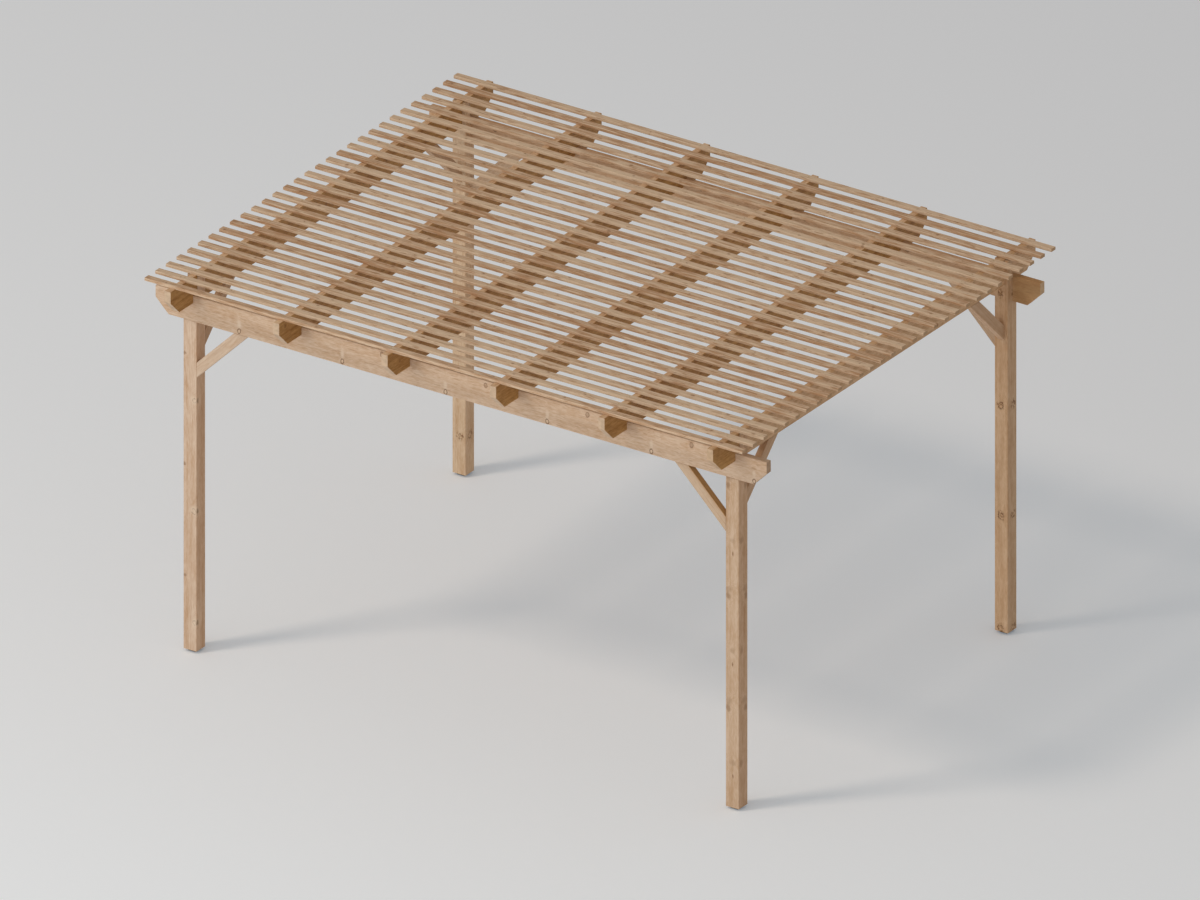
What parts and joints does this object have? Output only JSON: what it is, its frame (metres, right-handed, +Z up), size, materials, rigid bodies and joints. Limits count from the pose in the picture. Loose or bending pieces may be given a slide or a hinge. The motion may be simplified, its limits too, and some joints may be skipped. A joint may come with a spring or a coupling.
{
  "type": "pergola",
  "caption": "Free-standing flat-roofed timber pergola: forked posts carry front and back beams, rafters notched over them and spaced battens, with knee braces at the corners.",
  "frame": {"origin": "on the ground, below the middle of the roof", "axes": "+X along the beams to the right, +Y from the front to the back, +Z up"},
  "size_m": [4.4, 3.484, 2.517],
  "materials": {
    "post_timber": "planed softwood, clear oiled",
    "beam_timber": "planed softwood, clear oiled",
    "rafter_timber": "planed softwood, clear oiled",
    "batten_timber": "planed softwood, clear oiled",
    "brace_timber": "planed softwood, clear oiled",
    "pad_rubber": "matt moulded rubber",
    "screw_steel": "yellow-passivated steel"
  },
  "bodies": {
    "root": {"post_front_left": "post_timber", "pad_front_left": "pad_rubber", "post_front_right": "post_timber", "pad_front_right": "pad_rubber", "post_back_left": "post_timber", "pad_back_left": "pad_rubber", "post_back_right": "post_timber", "pad_back_right": "pad_rubber", "beam_brace_front_left": "brace_timber", "rafter_brace_front_left": "brace_timber", "beam_brace_front_right": "brace_timber", "rafter_brace_front_right": "brace_timber", "beam_brace_back_left": "brace_timber", "rafter_brace_back_left": "brace_timber", "beam_brace_back_right": "brace_timber", "rafter_brace_back_right": "brace_timber", "beam_front": "beam_timber", "beam_back": "beam_timber", "rafter_1": "rafter_timber", "rafter_2": "rafter_timber", "rafter_3": "rafter_timber", "rafter_4": "rafter_timber", "rafter_5": "rafter_timber", "rafter_6": "rafter_timber", "battens_01": "batten_timber", "battens_02": "batten_timber", "battens_03": "batten_timber", "battens_04": "batten_timber", "battens_05": "batten_timber", "battens_06": "batten_timber", "battens_07": "batten_timber", "battens_08": "batten_timber", "battens_09": "batten_timber", "battens_10": "batten_timber"}
  },
  "joints": []
}
